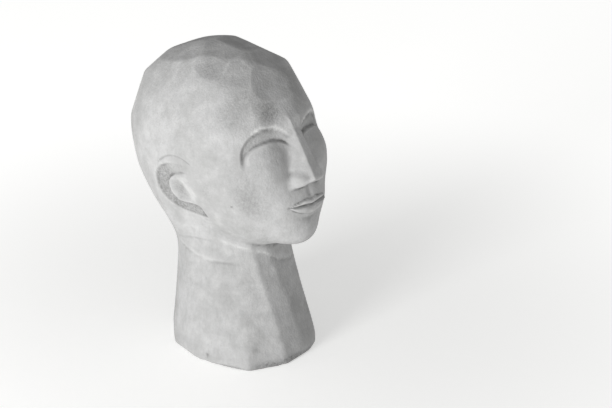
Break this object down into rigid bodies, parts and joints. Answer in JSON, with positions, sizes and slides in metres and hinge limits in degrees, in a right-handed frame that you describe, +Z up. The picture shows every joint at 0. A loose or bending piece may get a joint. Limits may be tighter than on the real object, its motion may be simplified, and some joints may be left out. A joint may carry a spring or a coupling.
{
  "type": "plaster head",
  "caption": "Life-size cast plaster head on a flaring, hand-cut neck, with blank eyes and low-relief ears, that stands on its flat underside.",
  "frame": {"origin": "on the underside, on the middle plane, 4.5 mm in front of the middle of the foot", "axes": "+Z up, -Y the way the face looks, +X towards the head's own left"},
  "size_m": [0.1561, 0.2413, 0.3294],
  "materials": {
    "plaster": "matt cast plaster"
  },
  "bodies": {
    "root": {"plaster_head": "plaster"}
  },
  "joints": []
}
